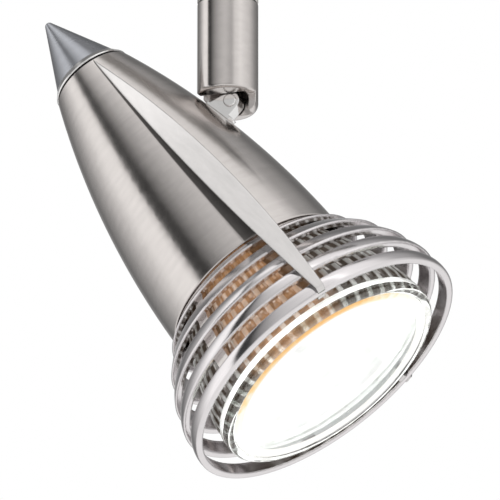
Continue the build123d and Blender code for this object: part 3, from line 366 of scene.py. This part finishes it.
def thin_glass(name, colour, gloss=0.06):
    """Cover glass or quartz wall: lets light straight through, with a thin gloss on top."""
    material, graph = new_material(name)
    ripple = graph.noise(graph.place(), 300.0, 2.0)
    through = graph.add("ShaderNodeBsdfTransparent")
    graph.put(through.inputs[0], graph.mix(graph.span(ripple, 0.3, 0.7), colour, (1.0, 1.0, 1.0)))
    surface = graph.add("ShaderNodeBsdfGlossy")
    surface.inputs["Roughness"].default_value = 0.04
    graph.put(surface.inputs["Normal"], graph.bump(ripple, 0.1, 0.1 * MM))
    facing = graph.add("ShaderNodeLayerWeight")
    facing.inputs["Blend"].default_value = 0.35
    share = graph.math("MULTIPLY_ADD", facing.outputs["Fresnel"], 0.6, gloss, clamp=True)
    both = graph.add("ShaderNodeMixShader")
    graph.put(both.inputs[0], share)
    graph.put(both.inputs[1], through.outputs[0])
    graph.put(both.inputs[2], surface.outputs[0])
    output = graph.add("ShaderNodeOutputMaterial")
    graph.tree.links.new(both.outputs[0], output.inputs[0])
    return material


def lit_facets(name):
    """Mirror facets with a painted glow, an emission that stands for the lamp's light reflected in
    them: overexposed, with faint darker facets.
    """
    material, graph = new_material(name)
    around = Around(graph, *HEAD_AXIS)
    cells = graph.noise(graph.vector("ADD", graph.vector("SCALE", around.outward, 5.0),
                                     graph.vector("SCALE", around.axis,
                                                  graph.math("MULTIPLY", around.along, 420.0))),
                        1.0, 1.0)
    # painted glow: the facets' emission stands for the lamp's light reflected in them
    warm = graph.mix(graph.span(cells, 0.4, 0.6), (1.0, 0.985, 0.96), (1.0, 1.0, 1.0))
    level = graph.span(cells, 0.35, 0.62, 0.93, 1.35)
    principled(graph, Base_Color=graph.vector("SCALE", (0.6, 0.6, 0.6), 1.0),
               Roughness=graph.math("MULTIPLY_ADD", cells, 0.05, 0.12), Metallic=1.0,
               Emission_Color=warm, Emission_Strength=level)
    return material


def warm_edge(name):
    """Glow painted on the flat ring over the edge of the cover glass, standing for light caught in the
    rim: amber on the near side, pale and bright on the far side.
    """
    material, graph = new_material(name)
    around = Around(graph, *HEAD_AXIS)
    warm_side = (NEAR + TOP * 0.10).normalized()
    toward = graph.vector("DOT_PRODUCT", around.outward, tuple(warm_side))
    grain = graph.noise(graph.place(), 420.0, 2.0)
    toward = graph.math("MULTIPLY_ADD", grain, 0.9, graph.math("SUBTRACT", toward, 0.45))
    inward = graph.span(around.radius, LAMP_RADIUS - PAINTED_RING_INNER, LAMP_RADIUS - GLOW_OUTER)
    tint = graph.ramp(toward, [(0.0, (1.0, 1.0, 0.96)), (0.45, (0.93, 0.92, 0.80)),
                               (0.72, (0.93, 0.66, 0.32)), (0.95, (0.86, 0.47, 0.13))])
    tint = graph.mix(graph.span(inward, 0.05, 0.45), (1.0, 0.99, 0.95), tint)
    principled(graph, Base_Color=(0.12, 0.12, 0.11, 1.0),
               Roughness=graph.math("MULTIPLY_ADD", grain, 0.1, 0.15),
               Emission_Color=tint, Emission_Strength=graph.math("MULTIPLY_ADD", grain, 0.35, 0.78))
    return material


def glowing(name, colour, strength):
    material, graph = new_material(name)
    grain = graph.noise(graph.place(), 4000.0, 2.0)
    level = graph.math("MULTIPLY_ADD", grain, 0.3 * strength, 0.85 * strength)
    tint = graph.mix(graph.span(grain, 0.3, 0.7), colour, (1.0, 0.97, 0.9))
    principled(graph, Base_Color=graph.vector("SCALE", (0.4, 0.38, 0.35), 1.0), Roughness=0.5,
               Emission_Color=tint, Emission_Strength=level)
    return material


def bowl_glass(name):
    """Pressed reflector glass: clear ribs, dark mirrored cells with a painted highlight, a light spot,
    in each, and a warm glow painted on the near side, the one that the camera sees at rest."""
    material, graph = new_material(name)
    around = Around(graph, *HEAD_AXIS)
    rear, front, _ = head_span("lamp_reflector")
    fine = graph.noise(graph.place(), 900.0, 3.0)
    cloud = graph.noise(graph.place(), 180.0, 2.0)
    near = graph.vector("DOT_PRODUCT", around.outward, tuple(NEAR))
    top = graph.vector("DOT_PRODUCT", around.outward, tuple(TOP))
    turn = graph.math("ARCTAN2", near, top)
    wave = graph.math("COSINE", graph.math("MULTIPLY", turn, float(RIB_COUNT)))
    rib = graph.span(wave, 0.25, 0.7, smooth=True)
    share = graph.span(around.along, rear, front - RIM_LENGTH)
    row = graph.math("ABSOLUTE", graph.math("SINE", graph.math("MULTIPLY", share, pi * DIMPLE_ROWS)))
    # painted highlight: a light spot in the middle of each cell between the ribs
    spot = graph.math("MULTIPLY", graph.span(wave, -0.75, -0.97, smooth=True),
                      graph.span(row, 0.8, 0.97, smooth=True))
    # painted glow: the near side gets a warmer base colour and a warm emission
    warm = graph.span(near, 0.82, 0.97, smooth=True)
    dark = graph.mix(warm, (0.09, 0.085, 0.075), (0.36, 0.23, 0.15))
    dark = graph.mix(graph.span(cloud, 0.35, 0.65), dark, (0.16, 0.145, 0.13))
    glaze = graph.mix(rib, dark, (0.78, 0.80, 0.78))
    glaze = graph.mix(spot, glaze, (0.85, 0.82, 0.78))
    level = graph.math("MULTIPLY_ADD", graph.math("MULTIPLY", warm, fine), 0.45, 0.015)
    shader = principled(graph, Base_Color=glaze, Roughness=graph.math("MULTIPLY_ADD", fine, 0.1, 0.08),
                        Emission_Strength=level, Normal=graph.bump(fine, 0.15, 0.1 * MM))
    shader.inputs["Emission Color"].default_value = (1.0, 0.52, 0.24, 1.0)
    shader.inputs["Metallic"].default_value = 0.3
    shader.inputs["Coat Weight"].default_value = 0.6
    shader.inputs["Coat Roughness"].default_value = 0.05
    return material


# ---------------------------------------------------------------- mesh building
def mesh_object(name, mesh, material, body, smooth=True):
    piece = bpy.data.objects.new(name, mesh)
    bpy.context.scene.collection.objects.link(piece)
    piece.data.materials.append(material)
    for face in piece.data.polygons:
        face.use_smooth = smooth
    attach(piece, body)
    return piece


def turned_mesh(name, rows, columns, closed):
    """Mesh of rings about the head's axis; rows gives, for each row, a function of the angle
    that returns (station, radius). A closed profile joins its last row to its first."""
    made = bmesh.new()
    grid = []
    for row in rows:
        ring = []
        for column in range(columns):
            angle = tau * column / columns
            ring.append(made.verts.new(head_place(*row(angle), angle)))
        grid.append(ring)
    pairs = list(zip(grid, grid[1:]))
    if closed:
        pairs.append((grid[-1], grid[0]))
    for lower, upper in pairs:
        for column in range(columns):
            after = (column + 1) % columns
            made.faces.new((lower[column], lower[after], upper[after], upper[column]))
    bmesh.ops.recalc_face_normals(made, faces=made.faces)
    mesh = bpy.data.meshes.new(name)
    made.to_mesh(mesh)
    made.free()
    return mesh


# ---------------------------------------------------------------- lamp
def bowl_outline():
    """Outer radius of the CAD bowl at any station behind the rim."""
    pairs = head_profile("lamp_reflector")
    rear, front, _ = head_span("lamp_reflector")
    ends = front - RIM_LENGTH
    half = (ends - rear) / OUTLINE_STEPS
    outer = []
    for number in range(OUTLINE_STEPS + 1):
        station = rear + (ends - rear) * number / OUTLINE_STEPS
        near = [radius + (station - along) * OUTLINE_SLOPE
                for along, radius in pairs if abs(along - station) <= half]
        outer.append((station, max(near)))
    return rear, ends, front, outer


BOWL_REAR, BOWL_END, LAMP_FRONT, BOWL_OUTER = bowl_outline()


def bowl_radius(station):
    for (low, r_low), (high, r_high) in zip(BOWL_OUTER, BOWL_OUTER[1:]):
        if station <= high:
            share = (station - low) / (high - low)
            return r_low + (r_high - r_low) * max(0.0, share)
    return BOWL_OUTER[-1][1]


def rib_row(share):
    """One row of the bowl's outside: ribs run along it, with dimpled cells between them."""
    station = BOWL_REAR + (BOWL_END - BOWL_REAR) * share
    base = bowl_radius(station) - RIB_HEIGHT

    def row(angle):
        rib = max(0.0, cos(RIB_COUNT * angle)) ** 0.6
        cell = abs(sin(pi * DIMPLE_ROWS * share)) * max(0.0, -cos(RIB_COUNT * angle))
        fade = min(1.0, 8 * share, 12 * (1 - share) + 0.25)
        return station, base + fade * (RIB_HEIGHT * rib - DIMPLE_DEPTH * cell)

    return row


def plain_row(station, radius):
    return lambda angle: (station, radius)


def reflector_bowl(material):
    outer = [rib_row(number / BOWL_ROWS) for number in range(BOWL_ROWS + 1)]
    inner = []
    for number in range(LINING_ROWS, -1, -1):
        station = BOWL_REAR + (BOWL_END - BOWL_REAR) * number / LINING_ROWS
        inner.append(plain_row(station, bowl_radius(station) - GLASS_WALL))
    mesh = turned_mesh("reflector_bowl", [*outer, *inner], 8 * RIB_COUNT, True)
    piece = mesh_object("reflector_bowl", mesh, material, "lamp")
    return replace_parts(piece, "lamp_reflector")


def reflector_facets(material):
    rows = []
    start, end = BOWL_REAR + FACET_INSET, LAMP_FRONT - FACET_END_DEPTH
    for number in range(FACET_ROWS + 1):
        share = number / FACET_ROWS
        station = start + (end - start) * share
        radius = bowl_radius(min(station, BOWL_END)) - GLASS_WALL - FACET_GAP
        rows.append(plain_row(station, radius))
    outside = [plain_row(row(0)[0], row(0)[1] + FACET_THICKNESS) for row in reversed(rows)]
    mesh = turned_mesh("reflector_facets", [*rows, *outside], FACET_COLUMNS, True)
    return mesh_object("reflector_facets", mesh, material, "lamp", smooth=False)


def reflector_rim(material):
    """Clear pressed rim: rolled outer edge, flat land and a step that holds the cover glass."""
    outer, land = LAMP_RADIUS, LAMP_RADIUS - RIM_LAND
    back, front = BOWL_END, LAMP_FRONT
    seat = LAMP_FRONT - GLASS_SEAT_DEPTH
    points = [(back, outer - 0.75 * MM), (back + 0.5 * MM, outer)]
    for number in range(RIM_EDGE_STEPS + 1):
        turn = pi / 2 * number / RIM_EDGE_STEPS
        points.append((front - RIM_EDGE_R + RIM_EDGE_R * sin(turn),
                       outer - RIM_EDGE_R + RIM_EDGE_R * cos(turn)))
    points += [(front, land), (front - 0.35 * MM, land - 0.3 * MM), (seat, land - 0.35 * MM),
               (seat - 0.3 * MM, land - 0.9 * MM), (back, land - 1.1 * MM)]
    mesh = turned_mesh("reflector_rim", [plain_row(*point) for point in points], SMOOTH_COLUMNS, True)
    return mesh_object("reflector_rim", mesh, material, "lamp")


def painted_glow_ring(material):
    """Flat glowing ring over the edge of the cover glass. It stands for light caught in the rim
    and hides the bowl's front end. A real lamp has no such part."""
    back, front = LAMP_FRONT - PAINTED_RING_BACK, LAMP_FRONT - PAINTED_RING_FRONT
    outer, inner = LAMP_RADIUS - PAINTED_RING_OUTER, LAMP_RADIUS - PAINTED_RING_INNER
    points = [(back, outer), (front, outer), (front, inner), (back, inner)]
    mesh = turned_mesh("painted_glow_ring", [plain_row(*point) for point in points], SMOOTH_COLUMNS, True)
    return mesh_object("painted_glow_ring", mesh, material, "lamp")


def filament_coil(material):
    """Coiled tungsten wire along the capsule's core."""
    rear, front, _ = head_span("lamp_filament")
    curve = bpy.data.curves.new("filament_coil", "CURVE")
    curve.dimensions = "3D"
    spline = curve.splines.new("POLY")
    count = FILAMENT_TURNS * FILAMENT_STEPS
    spline.points.add(count)
    for number in range(count + 1):
        share = number / count
        station = rear + (front - rear) * share
        point = head_place(station, FILAMENT_COIL_R, tau * FILAMENT_TURNS * share)
        spline.points[number].co = (*point, 1)
    curve.bevel_depth = FILAMENT_WIRE_R
    curve.bevel_resolution = 2
    piece = bpy.data.objects.new("filament_coil", curve)
    bpy.context.scene.collection.objects.link(piece)
    piece.data.materials.append(material)
    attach(piece, "lamp")
    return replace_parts(piece, "lamp_filament")


# ---------------------------------------------------------------- materials of the CAD nodes
NICKEL = (0.60, 0.565, 0.545)


def assign(material, *nodes):
    for node in nodes:
        slots = frame["nodes"][node].material_slots
        if not slots:
            frame["nodes"][node].data.materials.append(material)
        for slot in slots:
            slot.link = "OBJECT"
            slot.material = material


def paint_metals():
    rings = [f"ring_{number}" for number in range(1, 6)]
    assign(brushed("shell_nickel", NICKEL, 0.19, edge=0.2 * MM), "shell")
    # fin flanks get a painted shade at 0.3 of the plating colour
    assign(brushed("fin_nickel", (0.66, 0.64, 0.63), 0.16, direction="along", stretch=0.3,
                   edge=0.4 * MM, painted_flank_shade=0.3), "fin_near", "fin_far")
    assign(brushed("ring_nickel", (0.72, 0.69, 0.695), 0.13, stretch=0.0, edge=0.6 * MM), *rings)
    assign(brushed("strut_nickel", (0.58, 0.55, 0.53), 0.22, direction="along", stretch=0.2),
           "strut_near", "strut_far")
    assign(brushed("cone_grey", (0.42, 0.43, 0.46), 0.26, stretch=0.3, depth=0.05, mottle=0.02),
           "tail_cone")
    assign(brushed("stem_nickel", NICKEL, 0.20, axis=STEM_AXIS), "upper_stem", "stem_collar")
    assign(brushed("barrel_nickel", NICKEL, 0.18, axis=STEM_AXIS, edge=0.3 * MM), "swivel_barrel")
    assign(bright_metal("polished_nickel", (0.86, 0.85, 0.84), 0.10, edge=0.3 * MM), "tail_collar",
           "swivel_lug", "pivot_screw")
    assign(bright_metal("zinc_plate", (0.66, 0.67, 0.68), 0.28), "housing_screws",
           "terminal_screws", "lever_screw", "bracket_screws", "pan_stop_screw", "lug_screw",
           "tail_stud", "tail_nut", "stem_locknut", "pan_nut")
    assign(bright_metal("contact_brass", (0.80, 0.56, 0.30), 0.22), "contact_live",
           "contact_neutral", "contact_earth", "lampholder_contacts", "pan_bush")
    assign(bright_metal("spring_steel", (0.56, 0.56, 0.57), 0.3), "pan_spring", "lamp_pins",
           "holder_bracket")


def paint_plastics():
    assign(moulded("adapter_plastic", (0.47, 0.46, 0.45), 0.42), "adapter_cover", "adapter_tray")
    assign(moulded("lock_nylon", (0.035, 0.035, 0.037), 0.45), "lock_rotor", "lock_lever")
    assign(moulded("terminal_nylon", (0.78, 0.75, 0.67), 0.5), "terminal_block")
    assign(moulded("dark_rubber", (0.012, 0.012, 0.012), 0.6, specular=0.2), "tail_gasket")
    assign(moulded("dark_washer", (0.03, 0.03, 0.03), 0.5), "pan_washer", "friction_washer")
    assign(moulded("lead_sleeve", (0.75, 0.74, 0.70), 0.55), "stem_lead_live",
           "stem_lead_neutral", "head_lead_live", "head_lead_neutral")
    assign(moulded("holder_steatite", (0.80, 0.78, 0.72), 0.65), "lampholder_body",
           "lampholder_cover")
    assign(moulded("lamp_ceramic", (0.85, 0.84, 0.80), 0.5), "lamp_base")


def build_lamp():
    reflector_bowl(bowl_glass("bowl_glass"))
    reflector_facets(lit_facets("lit_facets"))
    reflector_rim(clear_glass("rim_glass", (0.90, 0.95, 0.91)))
    painted_glow_ring(warm_edge("warm_edge"))
    filament_coil(glowing("hot_filament", (1.0, 0.85, 0.6), 12.0))
    assign(thin_glass("cover_glass", (0.96, 0.98, 0.97)), "lamp_front_glass")
    assign(thin_glass("quartz", (0.98, 0.98, 0.97), 0.03), "lamp_capsule")


# ---------------------------------------------------------------- studio
FLOOR_HEIGHT = -1.9
FLOOR_SIZE = 9.0
FILL_OFFSET = Vector((-0.6, -1.2, 0.9))
FILL_SIZE = 1.6
FILL_POWER = 2.0
BAND_TOP = 2.0


def band_ring(graph, direction, facing, aside, bands):
    """Levels of light from (angle, level) bands about the axis square to facing and aside."""
    x = graph.vector("DOT_PRODUCT", direction, tuple(facing))
    y = graph.vector("DOT_PRODUCT", direction, tuple(aside))
    turn = graph.math("DIVIDE", graph.math("ARCTAN2", y, x), tau)
    turn = graph.math("ADD", turn, 0.5)
    ring = graph.ramp(turn, [((angle + 180) / 360, level / BAND_TOP) for angle, level in bands])
    return graph.math("MULTIPLY", ring, BAND_TOP)


def rear_bands(graph, direction):
    """The surround behind the head, as bands about its axis, turned to the camera's side.

    Their levels are chosen so that the metal shows the light and dark bands of the photograph."""
    facing = (TO_CAMERA - FORWARD * TO_CAMERA.dot(FORWARD)).normalized()
    bands = [(-180, 0.5), (-150, 0.18), (-122, 0.46), (-100, 0.85), (-80, 1.25), (-58, 1.30),
             (-52, 1.1), (-47, 0.05), (-33, 0.05), (-20, 0.34), (0, 0.66), (34, 1.0), (47, 1.0),
             (53, 1.7), (60, 1.15), (84, 1.05), (104, 0.52), (120, 0.42), (140, 0.20), (160, 0.20),
             (180, 0.5)]
    return band_ring(graph, direction, facing, facing.cross(FORWARD), bands)


def make_world():
    world = bpy.data.worlds.new("studio")
    bpy.context.scene.world = world
    world.use_nodes = True
    graph = Graph(world.node_tree)
    direction = graph.add("ShaderNodeTexCoord").outputs["Generated"]
    rear = rear_bands(graph, direction)
    ahead = graph.vector("DOT_PRODUCT", direction, tuple(FORWARD))
    share = graph.span(ahead, -0.25, 0.1, smooth=True)
    front = front_bands(graph, direction)
    level = graph.add("ShaderNodeMix", data_type="FLOAT")
    graph.put(level.inputs[0], share)
    graph.put(level.inputs[2], rear)
    graph.put(level.inputs[3], front)
    seen = graph.add("ShaderNodeLightPath").outputs["Is Camera Ray"]
    final = graph.add("ShaderNodeMix", data_type="FLOAT")
    graph.put(final.inputs[0], seen)
    graph.put(final.inputs[2], level.outputs[0])
    graph.put(final.inputs[3], 1.0)
    background = graph.add("ShaderNodeBackground")
    background.inputs["Color"].default_value = (1.0, 1.0, 1.0, 1.0)
    graph.put(background.inputs["Strength"], final.outputs[0])
    output = graph.add("ShaderNodeOutputWorld")
    graph.tree.links.new(background.outputs[0], output.inputs[0])


def front_bands(graph, direction):
    """The surround ahead of the head, as bands placed about the upright."""
    flat = Vector((TO_CAMERA.x, TO_CAMERA.y, 0)).normalized()
    bands = [(-180, 1.0), (-120, 0.6), (-60, 0.35), (-30, 0.65), (0, 0.40), (14, 0.5), (26, 0.95),
             (48, 1.2), (60, 1.1), (90, 0.85), (120, 0.40), (150, 0.25), (180, 1.0)]
    ring = band_ring(graph, direction, flat, UP.cross(flat), bands)
    height = graph.vector("DOT_PRODUCT", direction, (0.0, 0.0, 1.0))
    low = graph.span(height, -0.35, 0.0, 1.0, 0.0, smooth=True)
    both = graph.add("ShaderNodeMix", data_type="FLOAT")
    graph.put(both.inputs[0], low)
    graph.put(both.inputs[2], ring)
    graph.put(both.inputs[3], 1.0)
    return both.outputs[0]


def make_floor():
    half = FLOOR_SIZE / 2
    corners = [(-half, -half), (half, -half), (half, half), (-half, half)]
    made = bmesh.new()
    made.faces.new([made.verts.new((x, y, FLOOR_HEIGHT)) for x, y in corners])
    mesh = bpy.data.meshes.new("floor")
    made.to_mesh(mesh)
    made.free()
    floor = bpy.data.objects.new("floor", mesh)
    bpy.context.scene.collection.objects.link(floor)
    floor.data.materials.append(moulded("floor_paper", (0.86, 0.86, 0.85), 0.8, grain=4.0, depth=0.05))
    floor.visible_glossy = False


def make_light(name, place, target, size, power):
    data = bpy.data.lights.new(name, "AREA")
    data.shape = "DISK"
    data.size = size
    data.energy = power
    light = bpy.data.objects.new(name, data)
    bpy.context.scene.collection.objects.link(light)
    light.location = place
    light.rotation_mode = "QUATERNION"
    light.rotation_quaternion = (target - place).to_track_quat("-Z", "Y")
    light.visible_camera = False
    light.visible_glossy = False


def make_studio():
    make_world()
    make_floor()
    middle = (CAD_BOX[0] + CAD_BOX[1]) / 2
    make_light("soft_fill", middle + FILL_OFFSET, middle, FILL_SIZE, FILL_POWER)
    bpy.context.scene.view_settings.view_transform = "Standard"


paint_metals()
paint_plastics()
build_lamp()
make_studio()
